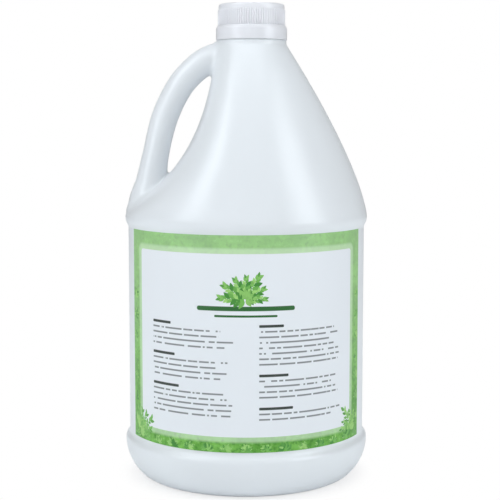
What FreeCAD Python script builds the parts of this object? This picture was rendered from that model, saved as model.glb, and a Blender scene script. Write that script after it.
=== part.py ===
# Handled one-gallon oil jug with a ribbed screw cap, a tamper-evident band, a sealing liner and a label.
# The jug stands on the XY plane, +Z is up, the handle is on the -X side and the label faces -Y.
# Sizes are in millimetres. The body axis is the Z axis, and the neck axis stands a little to its +X side.

import FreeCAD
import Part
import PartDesign
import Sketcher
import math
import os

from FreeCAD import Vector

# Driving sizes
SIZES = {
    "panel_radius": 76.0,          # straight side that carries the label
    "shoulder_step": 1.9,          # how far the ring above the panel stands out from it
    "bumper_step": 2.6,            # how far the ring below the panel stands out from it
    "foot_inset": 13.4,            # from the panel in to the outer edge of the flat foot ring
    "foot_width": 4.0,
    "push_up": 6.0,                # rise of the dome under the base
    "base_roll": 10.0,             # small radius between the foot and the side
    "bumper_rise": 14.0,           # from the top of the base roll to the widest ring
    "bumper_fade": 7.0,            # from there to the foot of the panel
    "panel_height": 131.0,
    "ledge_fillet": 4.0,           # hollow radius between the panel and the bumper
    "shoulder_rise": 6.0,          # from the panel to the shoulder's widest ring
    "cone_height": 109.0,          # from the shoulder's widest ring to the collar
    "cone_power": 1.32,            # 1 is a straight cone, 2 a full round one
    "pocket_fall": 3.3,            # how fast the handle pocket cuts in above the shoulder
    "pocket_start": 0.05,          # share of the cone that stays round before the pocket
    "pocket_square": 0.8,          # how much squarer than round the pocket side is
    "wall": 1.1,
    "neck_offset": 3.45,           # neck axis, away from the handle
    "collar_radius": 22.3,
    "collar_height": 2.7,
    "neck_radius": 17.6,
    "neck_wall": 2.0,
    "neck_height": 20.2,           # from the collar to the rim
    "bead_depth": 2.7,             # bead that keeps the tamper band on the neck
    "bead_start": 4.6,             # above the collar
    "bead_height": 1.8,
    "grip_width": 17.0,            # handle section in the plane of the handle
    "grip_depth": 19.5,            # handle section across that plane
    "handle_inset": 17.6,          # handle centre line inside the shoulder's widest ring
    "handle_foot": 14.0,           # height above the shoulder where the centre line is upright
    "handle_clear": 0.4,           # from the top of the handle to the collar's ledge
    "handle_bury": 5.0,            # how far the top end runs into the collar
    "root_height": 29.0,           # height of the flared lower root
    "root_flare": 11.0,            # growth of the lower root's half width
    "root_spread": 15.0,           # growth of the lower root's half depth
    "root_sink": 3.0,              # depth of the lower end inside the shoulder
    "top_flare": 1.6,              # growth of the upper root's half section
    "band_clearance": 0.3,         # between the band and the collar
    "band_wall": 1.5,
    "band_height": 7.8,
    "bead_clearance": 0.9,         # between the bead and the band
    "lip_clearance": 1.3,          # between the band's retaining lip and the neck
    "lip_start": 1.2,              # above the band's lower edge
    "lip_height": 1.6,
    "slit": 0.4,                   # tear line between the band and the cap
    "thread_room": 2.0,            # between the neck and the cap's bore
    "cap_wall": 1.4,
    "cap_top": 1.6,
    "cap_round": 1.4,              # rounded top edge
    "rib_count": 90,
    "rib_depth": 0.5,
    "rib_foot": 0.9,               # width of a rib at the skirt
    "rib_crest": 0.5,
    "rib_margin": 3.4,             # plain skirt above the ribs
    "liner_thickness": 1.0,
    "liner_clearance": 0.3,        # between the liner and the cap's bore
    "label_thickness": 0.2,
    "label_gap": 0.1,              # glue line between the panel and the label
    "label_angle": 136.5,          # sweep of the label round the panel, degrees
    "label_margin": 0.3,           # from each end of the panel
}

# Stations of the lofts: shares of the cone, shares of the lower root, degrees along the handle's arch
CONE_STATIONS = (0.0, 0.025, 0.07, 0.13, 0.21, 0.32, 0.46, 0.62, 0.78, 0.91, 1.0)
ROOT_STATIONS = (-0.12, 0.12, 0.4, 0.75)
ARCH_STATIONS = (16.0, 34.0, 52.0, 68.0, 80.0, 90.0)
TOP_FLARE_START = 55.0
FLARE_POWER = 2.2
QUARTER_POINTS = 9

doc = FreeCAD.newDocument("oil_jug")
sheet = doc.addObject("Spreadsheet::Sheet", "sizes")
for row, (alias, value) in enumerate(SIZES.items(), start=1):
    sheet.set(f"A{row}", alias)
    sheet.set(f"B{row}", str(value))
    sheet.setAlias(f"B{row}", alias)
doc.recompute()

# Sizes that follow from the driving ones, written as sums so that sketches can be tied to them
SHOULDER_RADIUS = "panel_radius + shoulder_step"
BUMPER_RADIUS = "panel_radius + bumper_step"
FOOT_RADIUS = "panel_radius - foot_inset"
BUMPER_HEIGHT = "base_roll + bumper_rise"
PANEL_BOTTOM = BUMPER_HEIGHT + " + bumper_fade"
PANEL_TOP = PANEL_BOTTOM + " + panel_height"
SHOULDER_HEIGHT = PANEL_TOP + " + shoulder_rise"
COLLAR_FOOT = SHOULDER_HEIGHT + " + cone_height"
LEDGE = COLLAR_FOOT + " + collar_height"
RIM = LEDGE + " + neck_height"
CAP_CEILING = RIM + " + liner_thickness"
CAP_CROWN = CAP_CEILING + " + cap_top"
BAND_FOOT = LEDGE + " + band_clearance"
BAND_CROWN = BAND_FOOT + " + band_height"
SKIRT_FOOT = BAND_CROWN + " + slit"
LIP_FOOT = BAND_FOOT + " + lip_start"
BEAD_FOOT = LEDGE + " + bead_start"
BEAD_RADIUS = "neck_radius + bead_depth"
LIP_RADIUS = "neck_radius + lip_clearance"
BAND_BORE = BEAD_RADIUS + " + bead_clearance"
BAND_RADIUS = BAND_BORE + " + band_wall"
CAP_BORE = "neck_radius + thread_room"
CAP_RADIUS = CAP_BORE + " + cap_wall"
RIB_LENGTH = ("neck_height + liner_thickness + cap_top - band_clearance - band_height"
              " - slit - rib_margin")


def size(alias):
    """Value of a driving size, read from the sheet."""
    return float(sheet.get(alias))


def tied(expression):
    """Expression text with each size name pointed at the sheet."""
    return " ".join(f"sizes.{word}" if word in SIZES else word for word in expression.split())


def worked_out(expression):
    """Number that a sum of sizes comes to, for drawing a sketch before its constraints hold it."""
    total = 0.0
    term = 0.0
    operator = "+"
    for word in expression.split():
        if word in "+-*/":
            operator = word
            continue
        number = size(word) if word in SIZES else float(word)
        if operator == "*":
            term *= number
        elif operator == "/":
            term /= number
        else:
            total += term
            term = number if operator == "+" else -number
    return total + term


# Sketch and feature helpers


def new_body(name, on_neck=False):
    """Empty body, moved to the neck axis where asked."""
    body = doc.addObject("PartDesign::Body", name)
    body.Label = name
    if on_neck:
        body.setExpression("Placement.Base.x", tied("neck_offset"))
    return body


def origin_feature(body, role):
    """Origin plane or axis of a body, by its role."""
    return next(feature for feature in body.Origin.OriginFeatures if feature.Role == role)


def new_sketch(body, name, plane):
    """Sketch on one of the body's own origin planes."""
    sketch = body.newObject("Sketcher::SketchObject", name)
    sketch.AttachmentSupport = (origin_feature(body, plane), [""])
    sketch.MapMode = "FlatFace"
    return sketch


def join(sketch, kind, *places):
    """Geometric constraint between sketch elements."""
    sketch.addConstraint(Sketcher.Constraint(kind, *places))


def measure(sketch, kind, places, expression):
    """Dimension that follows an expression of sizes."""
    number = sketch.addConstraint(Sketcher.Constraint(kind, *places, worked_out(expression)))
    sketch.setExpression(f"Constraints[{number}]", tied(expression))


def hold(sketch, geometry, point, across=None, up=None):
    """Hold a sketch point across and up from the origin; 0 puts it on the axis."""
    for kind, expression, axis in (("DistanceX", across, -2), ("DistanceY", up, -1)):
        if expression == "0":
            join(sketch, "PointOnObject", geometry, point, axis)
        elif expression is not None:
            measure(sketch, kind, (-1, 1, geometry, point), expression)


def draw_polygon(sketch, corners):
    """Closed outline of straight lines whose corners follow expressions."""
    points = [Vector(worked_out(across), worked_out(up), 0) for across, up in corners]
    for start, end in zip(points, points[1:] + points[:1]):
        sketch.addGeometry(Part.LineSegment(start, end))
    for index, (across, up) in enumerate(corners):
        join(sketch, "Coincident", (index - 1) % len(corners), 2, index, 1)
        hold(sketch, index, 1, across, up)


def revolve(body, sketch, name, angle=None):
    """Turn a sketch round its upright axis, fully or by an angle to both sides of the sketch."""
    turn = body.newObject("PartDesign::Revolution", name)
    turn.Profile = sketch
    turn.ReferenceAxis = (sketch, ["V_Axis"])
    turn.Angle = 360.0
    if angle:
        turn.Midplane = True
        turn.setExpression("Angle", tied(angle))
    sketch.Visibility = False
    return turn


def turned_piece(name, corners, on_neck=True):
    """Body made by turning a straight-sided outline."""
    body = new_body(name, on_neck)
    sketch = new_sketch(body, f"{name}_outline", "XZ_Plane")
    draw_polygon(sketch, corners)
    revolve(body, sketch, f"{name}_turn")
    return body


def ring_edges(feature, radius, height):
    """Names of a feature's round edges of one radius at one height."""
    doc.recompute()
    names = []
    for index, edge in enumerate(feature.Shape.Edges, start=1):
        curve = edge.Curve
        if isinstance(curve, Part.Circle):
            level = abs(curve.Center.z - height) < 1e-6
            if level and abs(curve.Radius - radius) < 1e-6:
                names.append(f"Edge{index}")
    return names


def formed(name, shape):
    """Document object that holds a form worked out from the sheet."""
    piece = doc.addObject("Part::Feature", name)
    piece.Shape = shape
    return piece


# Jug below the shoulder: foot, base roll, bumper, label panel and the roll under the shoulder


def arc(centre_x, centre_y, radius, start, end):
    """Arc in sketch coordinates, anticlockwise between two angles in degrees."""
    circle = Part.Circle(Vector(centre_x, centre_y, 0), Vector(0, 0, 1), radius)
    return Part.ArcOfCircle(circle, math.radians(start), math.radians(end))


def lower_form(name, inset):
    """Turned form of the base and the panel, drawn in by an inset for the inside of the wall."""
    body = new_body(name)
    sketch = new_sketch(body, f"{name}_outline", "XZ_Plane")
    depth = worked_out(inset)
    foot_inner = worked_out(FOOT_RADIUS + " - foot_width")
    dome = (foot_inner ** 2 + size("push_up") ** 2) / (2 * size("push_up"))
    dome_angle = math.degrees(math.asin(foot_inner / dome))
    reach = worked_out("bumper_step + foot_inset")
    roll = size("base_roll")
    climb = size("bumper_rise")
    side = (reach ** 2 + climb ** 2 - roll ** 2) / (2 * (reach - roll))
    side_angle = math.degrees(math.asin(climb / (side - roll)))
    step = size("bumper_step")
    rise = size("bumper_fade")
    swing = (step ** 2 + rise ** 2) / (2 * step)
    swing_angle = math.degrees(math.asin(rise / swing))
    crown = swing - size("ledge_fillet")
    bulge = size("shoulder_step")
    drop = size("shoulder_rise")
    shoulder = (bulge ** 2 + drop ** 2) / (2 * bulge)
    shoulder_angle = math.degrees(math.asin(drop / shoulder))
    panel_x = size("panel_radius") - depth
    top_y = worked_out(SHOULDER_HEIGHT)
    apex = Vector(0, size("push_up") + depth, 0)
    dome_arc, flat, roll_arc, side_arc, crown_arc, hollow_arc, panel, shoulder_arc, lid, spine = range(10)
    sketch.addGeometry([
        arc(0, apex.y - dome, dome, 90 - dome_angle, 90),
        Part.LineSegment(Vector(foot_inner, depth, 0), Vector(worked_out(FOOT_RADIUS), depth, 0)),
        arc(worked_out(FOOT_RADIUS), roll, roll - depth, -90, -side_angle),
        arc(worked_out(BUMPER_RADIUS) - side, worked_out(BUMPER_HEIGHT), side - depth, -side_angle, 0),
        arc(worked_out(BUMPER_RADIUS) - depth - crown, worked_out(BUMPER_HEIGHT), crown, 0, swing_angle),
        arc(panel_x + size("ledge_fillet"), worked_out(PANEL_BOTTOM), size("ledge_fillet"), 180, 180 + swing_angle),
        Part.LineSegment(Vector(panel_x, worked_out(PANEL_BOTTOM), 0), Vector(panel_x, worked_out(PANEL_TOP), 0)),
        arc(worked_out(SHOULDER_RADIUS) - depth - shoulder, top_y, shoulder, -shoulder_angle, 0),
        Part.LineSegment(Vector(worked_out(SHOULDER_RADIUS) - depth, top_y, 0), Vector(0, top_y, 0)),
        Part.LineSegment(Vector(0, top_y, 0), apex),
    ])
    join(sketch, "Coincident", dome_arc, 1, flat, 1)
    join(sketch, "Coincident", flat, 2, roll_arc, 1)
    join(sketch, "Tangent", roll_arc, 2, side_arc, 1)
    join(sketch, "Coincident", side_arc, 2, crown_arc, 1)
    join(sketch, "Tangent", crown_arc, 2, hollow_arc, 2)
    join(sketch, "Coincident", hollow_arc, 1, panel, 1)
    join(sketch, "Coincident", panel, 2, shoulder_arc, 1)
    join(sketch, "Coincident", shoulder_arc, 2, lid, 1)
    join(sketch, "Coincident", lid, 2, spine, 1)
    join(sketch, "Coincident", spine, 2, dome_arc, 2)
    join(sketch, "PointOnObject", dome_arc, 3, -2)
    join(sketch, "Horizontal", flat)
    join(sketch, "Vertical", flat, 2, roll_arc, 3)
    join(sketch, "Horizontal", side_arc, 3, side_arc, 2)
    join(sketch, "Horizontal", crown_arc, 3, crown_arc, 1)
    join(sketch, "Horizontal", hollow_arc, 3, hollow_arc, 1)
    join(sketch, "Vertical", panel)
    join(sketch, "Horizontal", shoulder_arc, 3, shoulder_arc, 2)
    join(sketch, "Horizontal", lid)
    hold(sketch, dome_arc, 2, "0", f"push_up + {inset}")
    hold(sketch, lid, 2, "0")
    hold(sketch, flat, 1, FOOT_RADIUS + " - foot_width")
    hold(sketch, flat, 2, FOOT_RADIUS)
    measure(sketch, "DistanceY", (flat, 1, dome_arc, 2), "push_up")
    measure(sketch, "Radius", (roll_arc,), f"base_roll - {inset}")
    measure(sketch, "Radius", (hollow_arc,), "ledge_fillet")
    hold(sketch, side_arc, 2, f"{BUMPER_RADIUS} - {inset}", BUMPER_HEIGHT)
    hold(sketch, hollow_arc, 1, f"panel_radius - {inset}", PANEL_BOTTOM)
    hold(sketch, panel, 2, None, PANEL_TOP)
    hold(sketch, shoulder_arc, 2, f"{SHOULDER_RADIUS} - {inset}", SHOULDER_HEIGHT)
    revolve(body, sketch, f"{name}_turn")
    return body


# Shoulder cone with the pocket behind the handle


def cone_radius(share):
    """Radius of the cone at a share of its height."""
    spread = worked_out(SHOULDER_RADIUS) - size("collar_radius")
    return size("collar_radius") + spread * (1 - share ** size("cone_power"))


def cone_centre(share):
    """Distance of the cone's centre from the body axis: it leans over to the neck."""
    return size("neck_offset") * share


def pocket_reach(share):
    """Distance from the body axis to the side that faces the handle."""
    top = size("collar_radius") - size("neck_offset")
    fall = math.exp(-size("pocket_fall") * share ** 2 / (share + size("pocket_start")))
    rest = math.exp(-size("pocket_fall") / (1 + size("pocket_start")))
    return top + (worked_out(SHOULDER_RADIUS) - top) * (fall - share * rest)


def cone_section(share, inset):
    """Closed outline of the cone at one height: a half circle, and a squarer half at the handle."""
    height = worked_out(SHOULDER_HEIGHT) + share * size("cone_height")
    centre = cone_centre(share)
    radius = cone_radius(share) - inset
    reach = pocket_reach(share) + centre - inset
    power = 2 / (2 + size("pocket_square") * 4 * share * (1 - share))

    def at(turn, side):
        """Point on the outline, turned from the +X side; side is -1 in front and 1 behind."""
        across = radius if turn <= 90 else reach
        bend = 1.0 if turn <= 90 else power
        cosine = math.cos(math.radians(turn))
        along = math.copysign(abs(cosine) ** bend, cosine) if turn != 90 else 0.0
        return Vector(centre + across * along, side * radius * math.sin(math.radians(turn)) ** bend, height)

    def quarter(side):
        """Quarter outline at the handle, from the widest point round to the pocket."""
        if share in (0.0, 1.0):
            return Part.Arc(at(90, side), at(135, side), Vector(centre - reach, 0, height)).toShape()
        turns = [90 + 90 * index / (QUARTER_POINTS - 1) for index in range(QUARTER_POINTS - 1)]
        points = [at(turn, side) for turn in turns] + [Vector(centre - reach, 0, height)]
        curve = Part.BSplineCurve()
        curve.interpolate(points, InitialTangent=Vector(-1, 0, 0), FinalTangent=Vector(0, -side, 0))
        return curve.toShape()

    right = Vector(centre + radius, 0, height)
    front = Part.Arc(right, at(45, -1), at(90, -1)).toShape()
    back = Part.Arc(right, at(45, 1), at(90, 1)).toShape()
    return Part.Wire(Part.sortEdges([front, quarter(-1), quarter(1), back])[0])


def cone_form(inset):
    """Solid cone through its stations."""
    return Part.makeLoft([cone_section(share, inset) for share in CONE_STATIONS], True, False)


# Hollow handle: a quarter-ellipse arch that flares into the shoulder below and the collar above


def handle_section(centre, across, half_width, half_depth):
    """Oval across the handle, with its long axis from front to back."""
    tip = centre + Vector(0, half_depth, 0)
    return Part.Wire(Part.Ellipse(tip, centre + across * half_width, centre).toShape())


def root_section(share, inset):
    """Oval of the lower root, which keeps to the outline that the cone has without its pocket."""
    height = worked_out(SHOULDER_HEIGHT) + share * size("root_height")
    cone_share = max(0.0, share * size("root_height") / size("cone_height"))
    flare = (1 - max(0.0, share)) ** FLARE_POWER
    half_width = size("grip_width") / 2 + size("root_flare") * flare
    half_depth = size("grip_depth") / 2 + size("root_spread") * flare
    outside = cone_radius(cone_share) - cone_centre(cone_share)
    if share < 0:
        outside -= size("root_sink")
    centre = Vector(half_width - outside, 0, height)
    return handle_section(centre, Vector(1, 0, 0), half_width - inset, half_depth - inset)


def arch_section(angle, inset):
    """Oval at an angle along the arch, from 0 at the upright foot to 90 at the level top."""
    growth = max(0.0, (angle - TOP_FLARE_START) / (90 - TOP_FLARE_START)) ** 2 * size("top_flare")
    top_x = size("neck_offset") - size("collar_radius") + size("handle_bury")
    span = worked_out(SHOULDER_RADIUS + " - handle_inset") + top_x
    low = worked_out(SHOULDER_HEIGHT + " + handle_foot")
    top = worked_out(LEDGE + " - handle_clear - top_flare - grip_width / 2")
    cosine = math.cos(math.radians(angle))
    sine = math.sin(math.radians(angle))
    centre = Vector(top_x - span * cosine, 0, low + (top - low) * sine)
    across = Vector((top - low) * cosine, 0, -span * sine)
    across.normalize()
    half_width = size("grip_width") / 2 + growth - inset
    half_depth = size("grip_depth") / 2 + growth - inset
    return handle_section(centre, across, half_width, half_depth)


def handle_form(inset):
    """Solid handle through its stations."""
    sections = [root_section(share, inset) for share in ROOT_STATIONS]
    sections += [arch_section(angle, inset) for angle in ARCH_STATIONS]
    return Part.makeLoft(sections, True, False)


# Neck finish, without its thread


def neck_form():
    """Collar, neck and tamper bead."""
    return turned_piece("neck_finish", [
        ("0", COLLAR_FOOT),
        ("collar_radius", COLLAR_FOOT),
        ("collar_radius", LEDGE),
        ("neck_radius", LEDGE),
        ("neck_radius", BEAD_FOOT),
        (BEAD_RADIUS, BEAD_FOOT),
        (BEAD_RADIUS, BEAD_FOOT + " + bead_height / 2"),
        ("neck_radius", BEAD_FOOT + " + bead_height"),
        ("neck_radius", RIM),
        ("0", RIM),
    ])


def jug_body():
    """Blow-moulded jug: the outside form with the inside form cut out of it."""
    outside = doc.addObject("Part::MultiFuse", "jug_outside")
    outside.Shapes = [
        lower_form("lower_outside", "0"),
        formed("cone_outside", cone_form(0.0)),
        formed("handle_outside", handle_form(0.0)),
        neck_form(),
    ]
    bore = doc.addObject("Part::Cylinder", "neck_bore")
    bore.setExpression("Radius", tied("neck_radius - neck_wall"))
    bore.setExpression("Height", tied("collar_height + neck_height + wall + wall"))
    bore.setExpression("Placement.Base.x", tied("neck_offset"))
    bore.setExpression("Placement.Base.z", tied(COLLAR_FOOT + " - wall"))
    inside = doc.addObject("Part::MultiFuse", "jug_inside")
    inside.Shapes = [
        lower_form("lower_inside", "wall"),
        formed("cone_inside", cone_form(size("wall"))),
        formed("handle_inside", handle_form(size("wall"))),
        bore,
    ]
    jug = doc.addObject("Part::Cut", "jug_body")
    jug.Base = outside
    jug.Tool = inside
    return jug


# Closure and label


def screw_cap():
    """Cap shell with a rounded crown and fine upright ribs."""
    body = turned_piece("screw_cap", [
        (CAP_BORE, SKIRT_FOOT),
        (CAP_RADIUS, SKIRT_FOOT),
        (CAP_RADIUS, CAP_CROWN),
        ("0", CAP_CROWN),
        ("0", CAP_CEILING),
        (CAP_BORE, CAP_CEILING),
    ])
    shell = body.Tip
    crown_edges = ring_edges(shell, worked_out(CAP_RADIUS), worked_out(CAP_CROWN))
    crown = body.newObject("PartDesign::Fillet", "cap_crown")
    crown.Base = (shell, crown_edges)
    crown.setExpression("Radius", tied("cap_round"))
    sketch = new_sketch(body, "rib_outline", "XY_Plane")
    sketch.setExpression("AttachmentOffset.Base.z", tied(SKIRT_FOOT))
    draw_polygon(sketch, [
        (CAP_RADIUS + " - rib_depth", "0 - rib_foot / 2"),
        (CAP_RADIUS + " + rib_depth", "0 - rib_crest / 2"),
        (CAP_RADIUS + " + rib_depth", "rib_crest / 2"),
        (CAP_RADIUS + " - rib_depth", "rib_foot / 2"),
    ])
    rib = body.newObject("PartDesign::Pad", "rib")
    rib.Profile = sketch
    rib.setExpression("Length", tied(RIB_LENGTH))
    sketch.Visibility = False
    ribs = body.newObject("PartDesign::PolarPattern", "ribs")
    ribs.Originals = [rib]
    ribs.Axis = (origin_feature(body, "Z_Axis"), [""])
    ribs.Angle = 360.0
    ribs.setExpression("Occurrences", tied("rib_count"))
    body.Tip = ribs
    return body


def tamper_band():
    """Torn-off ring that stays on the neck, held under the bead by its lip."""
    return turned_piece("tamper_band", [
        (BAND_BORE, BAND_FOOT),
        (BAND_RADIUS, BAND_FOOT),
        (BAND_RADIUS, BAND_CROWN),
        (BAND_BORE, BAND_CROWN),
        (BAND_BORE, LIP_FOOT + " + lip_height"),
        (LIP_RADIUS, LIP_FOOT + " + lip_height"),
        (LIP_RADIUS, LIP_FOOT + " + lip_height / 2"),
        (BAND_BORE, LIP_FOOT),
    ])


def cap_liner():
    """Sealing disc between the neck's rim and the cap."""
    liner = doc.addObject("Part::Cylinder", "cap_liner")
    liner.setExpression("Radius", tied(CAP_BORE + " - liner_clearance"))
    liner.setExpression("Height", tied("liner_thickness"))
    liner.setExpression("Placement.Base.x", tied("neck_offset"))
    liner.setExpression("Placement.Base.z", tied(RIM))
    return liner


def label():
    """Film label round the front of the panel."""
    body = new_body("label")
    sketch = new_sketch(body, "label_outline", "XZ_Plane")
    draw_polygon(sketch, [
        ("panel_radius + label_gap", PANEL_BOTTOM + " + label_margin"),
        ("panel_radius + label_gap + label_thickness", PANEL_BOTTOM + " + label_margin"),
        ("panel_radius + label_gap + label_thickness", PANEL_TOP + " - label_margin"),
        ("panel_radius + label_gap", PANEL_TOP + " - label_margin"),
    ])
    revolve(body, sketch, "label_turn", "label_angle")
    body.Placement.Rotation = FreeCAD.Rotation(Vector(0, 0, 1), -90)
    return body


pieces = [jug_body(), screw_cap(), tamper_band(), cap_liner(), label()]
doc.recompute()

# Every object has to be sound before anything is written
for item in doc.Objects:
    if "Invalid" in item.State or "Error" in item.State:
        raise RuntimeError(f"{item.Label} failed: {item.State}")
for piece in pieces:
    piece.Label = piece.Name
    if piece.Shape.isNull() or not piece.Shape.isValid():
        raise RuntimeError(f"{piece.Label} has no sound shape")

os.makedirs("parts", exist_ok=True)
for piece in pieces:
    piece.Shape.exportStep(f"parts/{piece.Label}.step")
    bounds = piece.Shape.BoundBox
    print(piece.Label, "solids", len(piece.Shape.Solids), "volume", round(piece.Shape.Volume, 1),
          "faces", len(piece.Shape.Faces), "top", round(bounds.ZMax, 2), "width", round(bounds.XLength, 2))
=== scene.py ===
# %% [markdown]
# A one-gallon oil jug stands on a white studio floor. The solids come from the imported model, and
# this lesson dresses them piece by piece: the jug with its handle, the screw cap, the tamper band,
# the liner and the printed label. All sizes below are in millimetres, and every mesh is scaled to
# metres when it is made.

# %% Load the frame
import math

import bmesh
import bpy
import numpy as np
from mathutils import Matrix, Vector


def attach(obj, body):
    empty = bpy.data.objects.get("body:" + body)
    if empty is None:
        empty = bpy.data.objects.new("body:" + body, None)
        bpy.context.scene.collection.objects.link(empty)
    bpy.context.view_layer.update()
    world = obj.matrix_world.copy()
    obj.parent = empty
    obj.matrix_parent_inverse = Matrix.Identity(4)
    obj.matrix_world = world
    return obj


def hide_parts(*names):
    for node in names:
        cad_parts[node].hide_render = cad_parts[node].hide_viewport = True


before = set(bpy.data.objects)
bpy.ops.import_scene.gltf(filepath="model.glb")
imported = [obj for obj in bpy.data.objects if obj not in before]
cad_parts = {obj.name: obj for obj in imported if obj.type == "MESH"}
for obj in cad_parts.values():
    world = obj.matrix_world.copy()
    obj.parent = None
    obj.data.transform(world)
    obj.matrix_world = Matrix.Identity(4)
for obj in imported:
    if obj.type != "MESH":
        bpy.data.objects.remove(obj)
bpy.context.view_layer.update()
MM = 0.001
NECK_X = 3.45
print("pieces in the frame:", sorted(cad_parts))

# %% [markdown]
# The camera stands a little above the middle of the jug and looks slightly down. A long lens keeps
# the sides of the jug almost parallel. The lens length follows from the frame: 1283 pixels of focal
# length on a 500 pixel picture.

# %% Camera
PICTURE, FOCAL_PIXELS, SENSOR = 500, 1283.0, 36.0
CAMERA_AT, LOOK_DOWN = (0.00246, -0.8295, 0.2313), 5.925


def put(name, data):
    """Object in the scene for a mesh, a lamp or a camera."""
    made = bpy.data.objects.new(name, data)
    bpy.context.scene.collection.objects.link(made)
    return made


camera_data = bpy.data.cameras.new("studio_camera")
camera_data.sensor_fit = "HORIZONTAL"
camera_data.sensor_width = SENSOR
camera_data.lens = SENSOR * FOCAL_PIXELS / PICTURE
camera = put("studio_camera", camera_data)
camera.location = CAMERA_AT
camera.rotation_euler = (math.radians(90 - LOOK_DOWN), 0, 0)
bpy.context.scene.camera = camera
print("lens", round(camera_data.lens, 1), "mm")

# %% [markdown]
# Sums made of nodes are easier to read as Python. `Field` wraps one output socket and turns
# + - * / into Math nodes. `Tree` adds a node to a tree, sets its options first and then its
# sockets, and gives its output back as a field. `Finish` is the tree of one material.

# %% Node arithmetic


class Field:
    """Output of a node that takes part in sums."""

    def __init__(self, tree, socket):
        self.tree = tree
        self.socket = socket

    def math(self, operation, *others):
        sockets = dict(enumerate((self, *others)))
        return self.tree.add("ShaderNodeMath", {"operation": operation}, sockets)

    def __add__(self, other):
        return self.math("ADD", other)

    def __sub__(self, other):
        return self.math("SUBTRACT", other)

    def __rsub__(self, other):
        return (self * -1.0) + other

    def __mul__(self, other):
        return self.math("MULTIPLY", other)

    def __truediv__(self, other):
        return self.math("DIVIDE", other)

    def __abs__(self):
        return self.math("ABSOLUTE")

    def larger(self, other):
        return self.math("MAXIMUM", other)

    def floor(self):
        return self.math("FLOOR")

    def part(self):
        return self.math("FRACT")

    def step(self, low, high):
        """Soft step from 0 at low to 1 at high."""
        sockets = {"Value": self, "From Min": low, "From Max": high}
        return self.tree.add("ShaderNodeMapRange", {"interpolation_type": "SMOOTHSTEP"}, sockets)


class Tree:
    """Node tree that gives each new node's output as a field."""

    def __init__(self, tree):
        self.nodes = tree.nodes
        self.links = tree.links

    def add(self, kind, settings=None, sockets=None, output=0):
        node = self.nodes.new(kind)
        for key, value in (settings or {}).items():
            setattr(node, key, value)
        for key, value in (sockets or {}).items():
            self.feed(node.inputs[key], value)
        return Field(self, node.outputs[output])

    def feed(self, socket, value):
        if isinstance(value, Field):
            self.links.new(value.socket, socket)
        else:
            socket.default_value = value


class Finish(Tree):
    """Material, or another owner of a shader tree, with one shader."""

    def __init__(self, name, owners=bpy.data.materials, shader="Principled BSDF"):
        self.owner = owners.new(name)
        self.owner.use_nodes = True
        super().__init__(self.owner.node_tree)
        self.shader = self.nodes[shader]

    def shade(self, **values):
        """Set the shader's sockets, with _ for a space in a socket's name."""
        for name, value in values.items():
            self.feed(self.shader.inputs[name.replace("_", " ")], value)

    def mix(self, factor, first, second):
        return self.add("ShaderNodeMix", {"data_type": "RGBA"}, {0: factor, 6: first, 7: second}, 2)

    def place(self):
        return self.add("ShaderNodeTexCoord", output="Object")

    def noise(self, scale, detail=2.0, roughness=0.5, where=None):
        where = where or self.place()
        sockets = {"Vector": where, "Scale": scale, "Detail": detail, "Roughness": roughness}
        return self.add("ShaderNodeTexNoise", None, sockets)

    def bump(self, height, distance, strength=1.0):
        sockets = {"Height": height, "Distance": distance, "Strength": strength}
        return self.add("ShaderNodeBump", None, sockets)


def tint(red, green, blue):
    """Colour of the shader from the 0 to 255 values that a screen shows."""
    shares = [channel / 255 for channel in (red, green, blue)]
    linear = [s / 12.92 if s <= 0.04045 else ((s + 0.055) / 1.055) ** 2.4 for s in shares]
    return (*linear, 1.0)


print("black and white as shader colours:", tint(0, 0, 0), tint(255, 255, 255))

# %% [markdown]
# Blown polyethylene is a soft white with a waxy gloss. Its skin is not quite even: the mould's
# blasted surface leaves a fine grain, and the wall cools unevenly, which shows as slow waves in the
# tone and the gloss. The cap is moulded harder and smaller, so its waves are shorter and its grain
# is finer. One function makes both finishes.

# %% Plastic finishes
GLOSS, GLOSS_SPREAD, GRAIN_SCALE, GRAIN_STRENGTH = 0.26, 0.08, 900.0, 0.5
JUG_WHITES = (tint(234, 237, 240), tint(231, 234, 237))
CAP_WHITES = (tint(237, 236, 240), tint(233, 233, 237))


def moulded_plastic(name, whites, wave_scale, grain_depth):
    """White plastic with slow changes of tone and gloss, and a fine grain."""
    finish = Finish(name)
    pale, deep = whites
    wave = finish.noise(wave_scale)
    grain = finish.noise(GRAIN_SCALE)
    finish.shade(
        Base_Color=finish.mix(wave.step(0.3, 0.7), deep, pale),
        Roughness=wave * GLOSS_SPREAD + GLOSS,
        Normal=finish.bump(grain, grain_depth, GRAIN_STRENGTH),
        IOR=1.5,
        Specular_IOR_Level=0.75,
    )
    return finish.owner


jug_plastic = moulded_plastic("jug_plastic", JUG_WHITES, wave_scale=14.0, grain_depth=0.00004)
cap_plastic = moulded_plastic("cap_plastic", CAP_WHITES, wave_scale=40.0, grain_depth=0.00002)
print("plastics:", jug_plastic.name, cap_plastic.name)

# %% [markdown]
# The liner is a disc of foamed plastic. Its closed cells show as tiny pits, which a Voronoi texture
# gives. The solid's own shape is right, so it stays and only gets this finish.

# %% Liner finish
CELL_SCALE, CELL_DEPTH = 1600.0, 0.00008
foam = Finish("liner_foam")
cells = foam.add("ShaderNodeTexVoronoi", None, {"Vector": foam.place(), "Scale": CELL_SCALE})
# The colour darkens towards the middle of each cell, where the bump sinks the pit deepest: this is
# painted shade in the pits.
foam.shade(
    Base_Color=foam.mix(cells.step(0.1, 0.6), tint(205, 205, 200), tint(238, 238, 234)),
    Roughness=cells * 0.2 + 0.6,
    Normal=foam.bump(cells, CELL_DEPTH, 0.6),
)
liner_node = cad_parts["cap_liner"]
liner_node.data.materials.clear()
liner_node.data.materials.append(foam.owner)
print("liner finish on", liner_node.name)

# %% [markdown]
# Most pieces of the jug are turned forms, so one helper turns an outline round an upright axis. A
# point on the axis becomes a single pole, which keeps the mesh closed.

# %% Mesh helpers


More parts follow.
